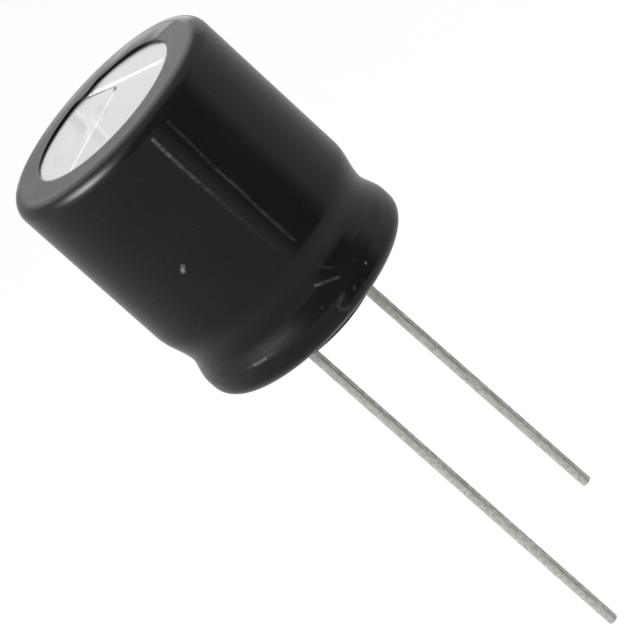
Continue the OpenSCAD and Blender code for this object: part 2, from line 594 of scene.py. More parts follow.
@dataclass(frozen=True)
class FilmFinish:
    """Black shrink film: glossy, with a fine grain, slow waves and a few pale strokes, some rubbed marks and
    some painted highlights on the rim.
    """

    dark: Colour = (0.0115, 0.0118, 0.0108)
    light: Colour = (0.0165, 0.0168, 0.0156)
    # Pale colour of the rubbed marks, and also of the painted highlights on the rim
    rubbed_and_highlight: Colour = (0.32, 0.31, 0.29)
    roughness: float = 0.090
    stroke_roughness: float = 0.3
    unroll_r: float = 9.1
    break_scale: float = 2600.0
    breaks: Step = Step(0.36, 0.62, 0.45, 1.2)
    dust: Step = Step(0.66, 0.74, 0.0, 0.045)
    cloud_scale: float = 260.0
    wave_scale: float = 210.0
    wave_stretch: Point = (1.0, 1.0, 0.45)
    wave_depth: float = 0.010
    grain_scale: float = 9000.0
    grain_depth: float = 0.0005
    strokes: tuple[Stroke, ...] = (
        # Two pale lines down the wall, strongest at the top
        Stroke(((-123.38, 20.25), (-123.74, 18.06)), 0.21, 0.40),
        Stroke(((-123.74, 18.06), (-123.77, 16.01)), 0.22, 0.27),
        Stroke(((-123.77, 16.01), (-123.43, 14.18)), 0.23, 0.13),
        Stroke(((-123.43, 14.18), (-123.2, 11.96)), 0.25, 0.07),
        Stroke(((-123.2, 11.96), (-122.39, 8.67)), 0.25, 0.035),
        Stroke(((-113.49, 20.23), (-113.73, 18.44), (-114.57, 15.61)), 0.20, 0.10),
        Stroke(((-114.57, 15.61), (-114.32, 13.39), (-114.85, 11.62)), 0.20, 0.13),
        Stroke(((-114.85, 11.62), (-114.85, 9.53), (-114.65, 8.13)), 0.20, 0.14),
        Stroke(((-155.28, 12.53), (-157.07, 12.25)), 0.25, 1.0),
        Stroke(((-122.6, 4.82), (-122.2, 4.79)), 0.15, 0.60),
        Stroke(((-122.52, 4.81), (-119.42, 4.53)), 0.17, 0.38),
        Stroke(((-119.42, 4.53), (-112.98, 3.95)), 0.17, 0.20),
        Stroke(((-114.69, 5.38), (-110.95, 4.57)), 0.24, 0.055),
        Stroke(((-117.24, 3.04), (-122.5, 2.85), (-123.38, 2.48), (-119.93, 2.02)), 0.25, 0.10),
        Stroke(((-111.7, 2.75), (-112.7, 2.62)), 0.20, 0.12),
        # Painted highlight: a small glint on the rim
        Stroke(((-99.79, 3.03), (-100.16, 2.99)), 0.13, 0.85),
        Stroke(((-128.21, 3.56), (-127.97, 3.52)), 0.12, 0.25),
        # Painted highlight: the bright streak along the fold on the rim
        Stroke(((-174.5, 3.60), (-169.5, 3.58)), 0.10, 0.10),
        Stroke(((-170.5, 3.59), (-162.5, 3.55)), 0.15, 0.36),
        Stroke(((-163.0, 3.55), (-156.5, 3.53)), 0.10, 0.13),
    )

    def unrolled(self, sketch: NodeSketch) -> Socket:
        """The place on the unrolled wall: angle times the wall's radius, and height, in metres.

        Args:
            sketch: The material's node tree.

        Returns:
            The vector.
        """
        x, y, z = sketch.split()
        made = sketch.add("ShaderNodeCombineXYZ")
        round_wall = sketch.math("MULTIPLY", sketch.math("ARCTAN2", y, x), self.unroll_r * MM)
        sketch.feed(made.inputs[0], round_wall)
        sketch.feed(made.inputs[1], z)
        return made.outputs[0]

    def wear_and_highlights(self, sketch: NodeSketch) -> Socket:
        """The pale strokes, rubbed marks and painted highlights on the rim, broken up by a fine noise, and
        faint specks of dust, from 0 to 1.

        Args:
            sketch: The material's node tree.

        Returns:
            The wear.
        """
        scale = (math.radians(self.unroll_r) * MM, MM)
        total = all_strokes(sketch, self.unrolled(sketch), self.strokes, scale)
        broken = sketch.noise(sketch.place(), self.break_scale, 4.0)
        total = sketch.math("MULTIPLY", total, self.breaks.of(sketch, broken), clamp=True)
        return sketch.math("MAXIMUM", total, self.dust.of(sketch, broken))

    def material(self) -> bpy.types.Material:
        """Makes the material.

        Returns:
            The finished material.
        """
        sketch = SurfaceSketch("shrink_film")
        wear_and_highlights = self.wear_and_highlights(sketch)
        cloud = sketch.noise(sketch.place(), self.cloud_scale, 3.0)
        grain = sketch.noise(sketch.place(), self.grain_scale, 2.0)
        waves = sketch.noise(sketch.stretched(self.wave_stretch), self.wave_scale, 1.0)
        colour = sketch.blend(cloud, self.dark, self.light)
        rough = sketch.between(cloud, 0.3, 0.7, self.roughness - 0.02, self.roughness + 0.04)
        normal = sketch.bump(waves, self.wave_depth)
        normal = sketch.bump(grain, self.grain_depth, normal)
        sketch.set(
            Base_Color=sketch.blend(wear_and_highlights, colour, self.rubbed_and_highlight),
            Roughness=sketch.math("ADD", rough, sketch.math("MULTIPLY", wear_and_highlights, self.stroke_roughness)),
            IOR=1.5,
            Normal=normal,
        )
        return sketch.material


@dataclass(frozen=True)
class AluminiumFinish:
    """Drawn aluminium, satin, cool on one side and warm on the other, with soft smears, painted highlights
    and reflections, and painted shade in the score groove and under the film's lip.
    """

    cool: Colour = (0.885, 0.893, 0.903)
    warm: Colour = (0.860, 0.857, 0.835)
    smear: Colour = (0.67, 0.69, 0.695)
    # Colour of the painted highlights: reflections across the disc and along the score bar
    painted_highlight: Colour = (0.99, 0.99, 0.98)
    # Colour of the painted shade in the score groove and under the film's lip
    cut: Colour = (0.05, 0.05, 0.05)
    roughness: float = 0.20
    metallic: float = 0.65
    warm_until: float = -2.0
    cool_from: float = 2.0
    cloud_scale: float = 330.0
    cloud_pull: float = 0.6
    cloud_drift: float = 8.0
    cloud_smear: Step = Step(0.25, 0.75, 0.0, 0.55)
    scratch_scale: Point = (900.0, 9000.0, 900.0)
    scratch_turn: float = 34.0
    scratch_depth: float = 0.0002
    dark_smears: tuple[Stroke, ...] = (
        Stroke(((1.6, 4.7), (-1.1, 1.5)), 1.0, 0.85),
        Stroke(((-1.1, 1.5), (-2.6, 1.1)), 0.9, 0.5),
        Stroke(((-2.1, -0.3), (-3.9, -2.7)), 0.9, 0.8),
        Stroke(((-3.0, 3.4), (-4.9, 1.2)), 0.9, 0.35),
        Stroke(((0.7, 1.0), (-0.3, -0.3)), 1.0, 0.75),
    )
    # Painted reflections: light arcs across the disc, and a painted highlight along the score bar
    highlight_smears: tuple[Stroke, ...] = (
        Stroke(((2.5, 5.2), (0.65, 2.8), (-0.9, 1.11), (-2.67, -0.02)), 0.30, 0.65),
        Stroke(((-0.06, 1.47), (-1.61, -0.46), (-4.07, -3.34)), 0.27, 0.65),
        Stroke(((3.46, 4.2), (2.83, -4.9)), 0.18, 1.0),
    )
    shade_from: float = 5.80
    shade_to: float = 6.15
    shade_share: float = 0.9
    shade_side: Point = (0.62, 0.78, 0.0)
    side_from: float = 1.5
    side_to: float = 4.5
    # Painted shade: the dark bottom of the groove under the score bar, and the hook at the stem's head
    painted_shade_marks: tuple[Stroke, ...] = (
        Stroke(((3.25, 4.10), (3.16, 3.52), (2.99, 2.55)), 0.17, 1.0),
        Stroke(((2.99, 2.55), (2.87, 1.83)), 0.15, 0.85),
        Stroke(((2.87, 1.83), (2.80, 1.17), (2.62, 0.53)), 0.12, 0.6),
        Stroke(((2.62, 0.53), (2.38, 0.30), (2.15, 0.27)), 0.20, 0.95),
    )

    def material(self) -> bpy.types.Material:
        """Makes the material.

        Returns:
            The finished material.
        """
        sketch = SurfaceSketch("drawn_aluminium")
        place = sketch.place()
        cloud = sketch.noise(place, self.cloud_scale, 3.0, self.cloud_pull)
        scratch = sketch.noise(sketch.stretched(self.scratch_scale, self.scratch_turn), 1.0, 3.0)
        flat = sketch.vector("MULTIPLY", place, (1.0, 1.0, 0.0)).outputs["Vector"]
        _, y, _ = sketch.split()
        drift = sketch.math("MULTIPLY", sketch.math("SUBTRACT", cloud, 0.5), self.cloud_drift * MM)
        drifted = sketch.math("ADD", y, drift)
        side = sketch.between(drifted, self.warm_until * MM, self.cool_from * MM)
        colour = sketch.blend(side, self.warm, self.cool)
        dark = all_strokes(sketch, flat, self.dark_smears)
        # light holds the painted highlights and reflections
        light = all_strokes(sketch, flat, self.highlight_smears)
        soft = self.cloud_smear.of(sketch, cloud)
        colour = sketch.blend(sketch.math("MAXIMUM", dark, soft), colour, self.smear)
        colour = sketch.blend(light, colour, self.painted_highlight)
        # Painted shade in the groove and under the lip, which darkens the colour
        painted_shade_marks = sketch.math("MAXIMUM", all_strokes(sketch, flat, self.painted_shade_marks), self.lip_shade(sketch, flat))
        sketch.set(
            Base_Color=sketch.blend(painted_shade_marks, colour, self.cut),
            Metallic=self.metallic,
            Roughness=sketch.between(cloud, 0.25, 0.75, self.roughness - 0.03, self.roughness + 0.05),
            Normal=sketch.bump(scratch, self.scratch_depth),
        )
        return sketch.material

    def lip_shade(self, sketch: NodeSketch, flat: Socket) -> Socket:
        """Painted shade under the film's lifted lip, which follows the opening on one side.

        The distance from the axis gives a rim, and the place dotted with one way gives a side.

        Args:
            sketch: The material's node tree.
            flat: The place on the vent end, in metres.

        Returns:
            The mask.
        """
        spread = sketch.vector("LENGTH", flat).outputs["Value"]
        across = sketch.vector("DOT_PRODUCT", flat, self.shade_side).outputs["Value"]
        rim = sketch.between(spread, self.shade_from * MM, self.shade_to * MM, 0.0, self.shade_share)
        return sketch.math("MULTIPLY", rim, sketch.between(across, self.side_from * MM, self.side_to * MM))


@dataclass(frozen=True)
class RubberFinish:
    """Black moulded rubber: matt, faintly grey with bloom, with a fine grain."""

    deep: Colour = (0.010, 0.010, 0.010)
    bloom: Colour = (0.022, 0.022, 0.021)
    cloud_scale: float = 700.0
    grain_scale: float = 7000.0
    grain_depth: float = 0.006

    def material(self) -> bpy.types.Material:
        """Makes the material.

        Returns:
            The finished material.
        """
        sketch = SurfaceSketch("bung_rubber")
        cloud = sketch.noise(sketch.place(), self.cloud_scale, 4.0)
        grain = sketch.noise(sketch.place(), self.grain_scale, 3.0)
        sketch.set(
            Base_Color=sketch.blend(cloud, self.deep, self.bloom),
            Roughness=sketch.between(cloud, 0.2, 0.8, 0.55, 0.75),
            IOR=1.5,
            Normal=sketch.bump(grain, self.grain_depth),
        )
        return sketch.material


@dataclass(frozen=True)
class WireFinish:
    """Tinned wire: pale satin grey, mottled, with drawn lines, small dark specks, a painted dark reflection
    band and painted shade along one side.
    """

    tin: Colour = (0.93, 0.92, 0.865)
    dull: Colour = (0.68, 0.665, 0.60)
    speck: Colour = (0.14, 0.135, 0.12)
    # Olive tint of the painted dark reflection band and of the painted shade along one edge
    painted_shade_tint: Colour = (0.31, 0.295, 0.22)
    roughness: float = 0.25
    metallic: float = 0.38
    line_at: float = 0.15
    line_half: float = 0.10
    line_share: float = 0.8
    edge_from: float = 0.16
    edge_to: float = 0.36
    edge_share: float = 0.75
    drawn_scale: Point = (7000.0, 7000.0, 300.0)
    drawn_depth: float = 0.008
    mottle_scale: Point = (4200.0, 4200.0, 2600.0)
    mottle_depth: float = 0.006
    dot_scale: Point = (3300.0, 3300.0, 2300.0)
    specks: Step = Step(0.67, 0.74, 0.0, 0.9)
    dulled: Step = Step(0.35, 0.68)
    broken_line: Step = Step(0.40, 0.56, 0.15, 1.0)
    broken_edge: Step = Step(0.34, 0.60, 0.35, 1.0)

    def material(self, off_axis: Callable[[NodeSketch], Socket]) -> bpy.types.Material:
        """The finished material, with painted shade along one side of the wire.

        Args:
            off_axis: Gives how far a place is off the wire's middle, in metres.

        Returns:
            The material.
        """
        sketch = SurfaceSketch("tinned_wire")
        drawn = sketch.noise(sketch.stretched(self.drawn_scale), 1.0, 3.0)
        mottle = sketch.noise(sketch.stretched(self.mottle_scale), 1.0, 4.0)
        dots = sketch.noise(sketch.stretched(self.dot_scale), 1.0, 2.0)
        specks = self.specks.of(sketch, dots)
        colour = sketch.blend(self.dulled.of(sketch, mottle), self.tin, self.dull)
        off = off_axis(sketch)
        # A painted dark reflection band along the wire
        from_line = sketch.math("ABSOLUTE", sketch.math("SUBTRACT", off, self.line_at * MM))
        painted_dark_band = sketch.between(from_line, 0.0, self.line_half * MM, self.line_share, 0.0)
        painted_dark_band = sketch.math("MULTIPLY", painted_dark_band, self.broken_line.of(sketch, drawn))
        # Painted shade along the edge on the side to which the wire leans
        edge = sketch.between(off, self.edge_from * MM, self.edge_to * MM, 0.0, self.edge_share)
        edge = sketch.math("MULTIPLY", edge, self.broken_edge.of(sketch, mottle))
        colour = sketch.blend(sketch.math("MAXIMUM", painted_dark_band, edge), colour, self.painted_shade_tint)
        normal = sketch.bump(drawn, self.drawn_depth)
        normal = sketch.bump(mottle, self.mottle_depth, normal)
        sketch.set(
            Base_Color=sketch.blend(specks, colour, self.speck),
            Metallic=self.metallic,
            Roughness=sketch.between(mottle, 0.3, 0.7, self.roughness - 0.05, self.roughness + 0.10),
            Normal=normal,
        )
        return sketch.material


@dataclass(frozen=True)
class WoundFinish:
    """The winding: pale damp paper with the grey edge of the foil between its turns."""

    paper: Colour = (0.58, 0.47, 0.29)
    foil: Colour = (0.36, 0.35, 0.33)
    turn_pitch: float = 0.4
    turn_share: float = 0.3
    fibre_scale: Point = (2600.0, 2600.0, 700.0)
    fibre_depth: float = 0.02

    def material(self) -> bpy.types.Material:
        """Makes the material.

        Returns:
            The finished material.
        """
        sketch = SurfaceSketch("wound_paper")
        turn = 2 * math.pi / (self.turn_pitch * MM)
        turns = sketch.math("SINE", sketch.math("MULTIPLY", sketch.from_axis(), turn))
        fibre = sketch.noise(sketch.stretched(self.fibre_scale), 1.0, 4.0)
        tone = sketch.math("ADD", sketch.math("MULTIPLY", turns, self.turn_share), fibre, clamp=True)
        sketch.set(
            Base_Color=sketch.blend(sketch.between(tone, 0.35, 0.85), self.paper, self.foil),
            Roughness=sketch.between(fibre, 0.2, 0.8, 0.55, 0.85),
            Normal=sketch.bump(fibre, self.fibre_depth),
        )
        return sketch.material


@dataclass(frozen=True)
class TapeFinish:
    """Amber closing tape, glossy, with faint stretch marks along its height."""

    pale: Colour = (0.55, 0.39, 0.14)
    deep: Colour = (0.44, 0.28, 0.08)
    streak_scale: Point = (1800.0, 1800.0, 160.0)
    streak_depth: float = 0.004

    def material(self) -> bpy.types.Material:
        """Makes the material.

        Returns:
            The finished material.
        """
        sketch = SurfaceSketch("closing_tape")
        streak = sketch.noise(sketch.stretched(self.streak_scale), 1.0, 3.0)
        sketch.set(
            Base_Color=sketch.blend(streak, self.pale, self.deep),
            Roughness=sketch.between(streak, 0.2, 0.8, 0.22, 0.38),
            IOR=1.48,
            Normal=sketch.bump(streak, self.streak_depth),
        )
        return sketch.material


@dataclass(frozen=True)
class TabFinish:
    """Bare pressed aluminium of the tabs, with marks of the press across the blade."""

    bright: Colour = (0.80, 0.80, 0.79)
    dull: Colour = (0.58, 0.58, 0.57)
    press_scale: Point = (1200.0, 1200.0, 5200.0)
    press_depth: float = 0.003

    def material(self) -> bpy.types.Material:
        """Makes the material.

        Returns:
            The finished material.
        """
        sketch = SurfaceSketch("tab_aluminium")
        press = sketch.noise(sketch.stretched(self.press_scale), 1.0, 2.0)
        sketch.set(
            Base_Color=sketch.blend(press, self.dull, self.bright),
            Metallic=1.0,
            Roughness=sketch.between(press, 0.2, 0.8, 0.28, 0.45),
            Normal=sketch.bump(press, self.press_depth),
        )
        return sketch.material


def seated(piece: bpy.types.Object, node: str, material: bpy.types.Material) -> bpy.types.Object:
    """Dresses a piece, and has it stand for a node of the frame.

    Args:
        piece: The piece.
        node: The node that it stands for.
        material: Its material.

    Returns:
        The same piece.
    """
    piece.data.materials.clear()
    piece.data.materials.append(material)
    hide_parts(node)
    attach(piece, ROOT)
    return piece


def apply_modifiers(piece: bpy.types.Object) -> None:
    """Replaces a piece's mesh by what its modifiers make of it.

    Args:
        piece: The piece.
    """
    depsgraph = bpy.context.evaluated_depsgraph_get()
    old = piece.data
    piece.data = bpy.data.meshes.new_from_object(piece.evaluated_get(depsgraph))
    piece.modifiers.clear()
    bpy.data.meshes.remove(old)


@dataclass(frozen=True)
class Ripple:
    """A sine round the axis.

    Attributes:
        share: How far it swings.
        count: Its swings in one turn.
        skew: Radians for each millimetre of height.
        start: Radians at the start.
    """

    share: float
    count: float
    skew: float = 0.0
    start: float = 0.0

    def at(self, angle: np.ndarray, height: np.ndarray | float = 0.0) -> np.ndarray:
        """Its share times the sine of count times the angle, plus skew times the height, plus start."""
        return self.share * np.sin(self.count * angle + self.skew * height + self.start)


@dataclass(frozen=True)
class CanShape:
    """The can's sizes and the leads' places, which the film, the bung and the wires follow too.

    The wall's radius at a height is the straight wall's, less the bead's depth times
    half of one plus the cosine of the distance from the waist, as a share of the run.
    """

    case_r: float = 8.95
    rim_r: float = 8.85
    wall: float = 0.4
    end_wall: float = 0.5
    shoulder_r: float = 1.0
    end_z: float = 21.5
    waist_z: float = 4.9
    bead_up: float = 3.1
    bead_down: float = 2.0
    bead_depth: float = 1.0
    curl_r: float = 0.95
    curl_centre: tuple[float, float] = (7.9, 2.45)
    curl_z: float = 1.5
    lead_x: float = 3.75

    def wall_radius(self, z: np.ndarray, depth: float, out: float, inset: float) -> np.ndarray:
        """The beaded wall's radius, as the class says, set in along its own slope.

        Args:
            z: Heights.
            depth: How deep this surface dips at the waist.
            out: How far it stands out from the can.
            inset: How far it is set in, square to itself.

        Returns:
            A radius for each height.
        """
        above = z >= self.waist_z
        run = np.where(above, self.bead_up, self.bead_down)
        share = np.minimum(np.abs(z - self.waist_z) / run, 1)
        start = np.where(above, self.case_r, self.rim_r) + out
        dip = np.where(above, depth, depth - (self.case_r - self.rim_r))
        slope = dip * np.pi / 2 * np.sin(np.pi * share) / run
        return start - dip * (1 + np.cos(np.pi * share)) / 2 - inset * np.hypot(1, slope)

    def bead(self, depth: float, out: float, inset: float, count: int) -> np.ndarray:
        """The beaded wall from the straight wall down to the rim, evenly spaced in height.

        Args:
            depth: How deep this surface dips at the waist.
            out: How far it stands out from the can.
            inset: How far it is set in, square to itself.
            count: Number of points.

        Returns:
            The profile points.
        """
        z = np.linspace(self.waist_z + self.bead_up, self.waist_z - self.bead_down, count)
        return np.column_stack([self.wall_radius(z, depth, out, inset), z])

    def shoulder(self, out: float, step: float) -> np.ndarray:
        """The rounded edge round the vent end.

        Args:
            out: How far the surface stands out from the can.
            step: Largest angle between two points, in degrees.

        Returns:
            The profile points.
        """
        centre = (self.case_r - self.shoulder_r, self.end_z - self.shoulder_r)
        return arc(centre, self.shoulder_r + out, 90, 0, step)


@dataclass
class ShrinkFilm:
    """The black film: it laps the vent end, bridges the bead and turns in under the curl."""

    shape: CanShape
    thickness: float = 0.14
    gap: float = 0.01
    dip: float = 0.55
    opening_r: float = 6.25
    foot_turn: float = 110.0
    segments: int = 288
    wave: float = 0.016
    wave_mid: float = 0.5
    ripples: tuple[Ripple, ...] = (
        Ripple(0.2, 3, skew=0.21),
        Ripple(0.18, 7, start=1.3),
        Ripple(0.12, 13, skew=-0.4),
    )
    ridge: float = 0.040
    ridge_at: float = -167.0
    ridge_spread: float = 5.0
    ridge_z: float = 3.38
    ridge_run: float = 0.13
    lip_lift: float = 0.09
    lip_swell: float = 0.12
    crease_angle: float = -23.4
    crease_skew: float = -3.3
    crease_run: float = 6.0
    crease_steps: int = 22
    crease_margin: float = 0.5
    crease_clear: float = 0.4
    sink_end: float = 64.0
    sink_run: float = 25.0
    sink_to: float = 0.5
    lift_end: float = 115.0
    lift_end_run: float = 45.0
    pleats: tuple[Ripple, ...] = (Ripple(0.10, 9, start=0.8), Ripple(0.07, 17))
    tongue: float = 0.42
    tongue_at: float = 50.0
    tongue_spread: float = 8.0
    finish: FilmFinish = field(default_factory=FilmFinish)

    def face(self, inset: float, fine: float) -> np.ndarray:
        """One face of the film, from the opening's lip to its foot.

        Args:
            inset: How far this face is set in from the outside.
            fine: How fine the points are, 1 for the outside.

        Returns:
            The profile points.
        """
        shape = self.shape
        out = self.gap + self.thickness
        level = shape.end_z + out - inset
        edge = (shape.case_r - shape.shoulder_r, level)
        wall_r = shape.case_r + out - inset
        wall = line((wall_r, shape.end_z - shape.shoulder_r), (wall_r, shape.waist_z + shape.bead_up), 24)
        return joined(
            line((self.opening_r, level), edge, 10),
            shape.shoulder(out - inset, 3 / fine),
            wall,
            shape.bead(self.dip, out, inset, int(50 * fine)),
            arc(shape.curl_centre, shape.curl_r + out - inset, 0, -self.foot_turn, 4 / fine),
        )

    def profile(self) -> np.ndarray:
        """The film's closed section: its outside, its foot, its inside and its round lip.

        Returns:
            The profile points.
        """
        outside = self.face(0, 1)
        inside = self.face(self.thickness, 0.6)
        half = self.thickness / 2
        foot = (outside[-1] + inside[-1]) / 2
        foot_angle = math.degrees(math.atan2(*(outside[-1] - foot)[::-1]))
        lip = (outside[0] + inside[0]) / 2
        return joined(
            outside,
            arc(tuple(foot), half, foot_angle, foot_angle - 180, 30)[1:-1],
            inside[::-1],
            arc(tuple(lip), half, 270, 90, 22.5)[1:-1],
        )

    def angles(self) -> np.ndarray:
        """The steps round the axis, closer together at the crease.

        Returns:
            Their angles in radians.
        """
        even = np.linspace(-180, 180, self.segments, endpoint=False)
        first = self.crease_angle + self.crease_skew - self.crease_margin
        last = self.crease_angle + self.crease_margin
        close = np.linspace(first, last, self.crease_steps)
        rest = even[(even < first - self.crease_clear) | (even > last + self.crease_clear)]
        return np.radians(np.sort(np.concatenate([rest, close])))

    def build(self) -> bpy.types.Object:
        """Makes the film.

        The section is turned about the axis. Each place then moves out by a slow wave, the
        sum of a few sines of its angle, and by the fold that the film keeps on the rim, a
        bell over its height and another over the angle. The lip rises by lifted(), and a
        tongue of it reaches in over the disc, a bell over the angle.

        Returns:
            The piece.
        """
        profile, around = self.profile(), self.angles()
        grid = turned_grid(profile, around)
        angle = around[None, :]
        radius, height = profile[:, :1], profile[:, 1:]
        ripple = self.wave_mid + sum(part.at(angle, height) for part in self.ripples)
        near_ridge = np.exp(-((off_angle(angle, self.ridge_at) / self.ridge_spread) ** 2))
        fold = self.ridge * near_ridge * np.exp(-(((height - self.ridge_z) / self.ridge_run) ** 2))
        outwards = self.wave * ripple + fold * (radius > self.shape.curl_centre[0])
        on_end = height > self.shape.end_z
        near_lip = self.lip_share(radius) * on_end
        tongue = self.tongue * np.exp(-((off_angle(angle, self.tongue_at) / self.tongue_spread) ** 2))
        outwards = outwards - tongue * near_lip**2
        grid = grid + np.stack([np.cos(angle), np.sin(angle), 0 * angle], axis=-1) * outwards[..., None]
        grid[..., 2] += self.lifted(near_lip, angle)
        piece = grid_object("shrink_film", grid, Ends.LOOP)
        return self.dress(piece)

    def lip_share(self, radius: np.ndarray) -> np.ndarray:
        """1 at the lip and 0 at the shoulder, for each distance from the axis."""
        full = self.shape.case_r - self.shape.shoulder_r
        return np.clip((full - radius) / (full - self.opening_r), 0, 1)

    def lifted(self, near_lip: np.ndarray, angle: np.ndarray) -> np.ndarray:
        """How far the lip stands off the vent end, where the film shrank less on one side.

        The film rises to the crease, which runs askew, and stays up past it. It sinks to a
        half after a while, and is down at lift_end. A few pleats, sines of the angle, run
        across it. Over the distance from the shoulder it rises evenly, with a swell on top.

        Args:
            near_lip: 1 at the lip and 0 at the shoulder.
            angle: Angle round the axis in radians.

        Returns:
            A height to add at each place.
        """
        crease = self.crease_angle + self.crease_skew * (1 - near_lip)
        past = (np.degrees(angle) - crease + self.crease_run) % 360
        span = self.lift_end - self.crease_angle + self.crease_run
        fall = self.sink_to + (1 - self.sink_to) * np.clip((self.sink_end - past) / self.sink_run, 0, 1)
        rise = np.clip(past / self.crease_run, 0, 1) * fall
        rise = rise * np.clip((span - past) / self.lift_end_run, 0, 1)
        pleats = 1 + sum(pleat.at(np.radians(past)) for pleat in self.pleats)
        across = self.lip_lift * near_lip + self.lip_swell * near_lip * (1 - near_lip)
        return across * rise * pleats

    def dress(self, piece: bpy.types.Object) -> bpy.types.Object:
        """Gives the film its finish and its place in the frame.

        Args:
            piece: The film.

        Returns:
            The same piece.
        """
        return seated(piece, "sleeve", self.finish.material())


@dataclass(frozen=True)
class ScoreLine:
    """One pressed line of the vent: a sharp cut along one side and a gentle flank on the other.

    Attributes:
        start: Its first end on the vent end.
        end: Its other end.
        gentle_way: The side to which the gentle flank rises, as a way across the vent end.
        width: Width of the flank.
        depth: Depth of the flank at its foot.
        cut_depth: How much deeper the cut goes.
        cut_width: Half the cut's width.
        dish: How far the metal beside the line is drawn in.
        dish_run: How far that reaches.
        end_run: How far past its ends the line runs out.
        steep_run: Width of the steep side.
    """

    start: tuple[float, float]
    end: tuple[float, float]
    gentle_way: tuple[float, float] = (0.6, 0.8)
    width: float = 0.42
    depth: float = 0.10
    cut_depth: float = 0.12
    cut_width: float = 0.05
    dish: float = 0.012
    dish_run: float = 0.75
    end_run: float = 0.12
    steep_run: float = 0.05

    def sink(self, x: np.ndarray, y: np.ndarray) -> np.ndarray:
        """How deep the metal is pressed at each place.

        The distance across the line, counted from its steep side, gives the flank, a straight
        ramp from its full depth to none over the width, and the cut, a bell at the steep
        side. Both end with the line. The metal beside it is drawn in by a wide shallow bell.

        Args:
            x: Places across.
            y: Places along.

        Returns:
            A depth for each place.
        """
        ax, ay = self.start
        dx, dy = self.end[0] - ax, self.end[1] - ay
        length = math.hypot(dx, dy)
        ux, uy = dx / length, dy / length
        side = math.copysign(1.0, -uy * self.gentle_way[0] + ux * self.gentle_way[1])
        along = (x - ax) * ux + (y - ay) * uy
        across = side * (-(x - ax) * uy + (y - ay) * ux)
        past = np.maximum(np.maximum(-along, along - length), 0)
        ending = np.clip(1 - past / self.end_run, 0, 1)
        foot = across + self.width / 2
        steep = np.clip(foot / self.steep_run + 1, 0, 1)
        flank = self.depth * np.clip(1 - foot / self.width, 0, 1) * steep
        groove = self.cut_depth * np.exp(-((foot / self.cut_width) ** 2))
        drawn_in = self.dish * np.exp(-((np.hypot(across, past) / self.dish_run) ** 2))
        return (flank + groove) * ending + drawn_in


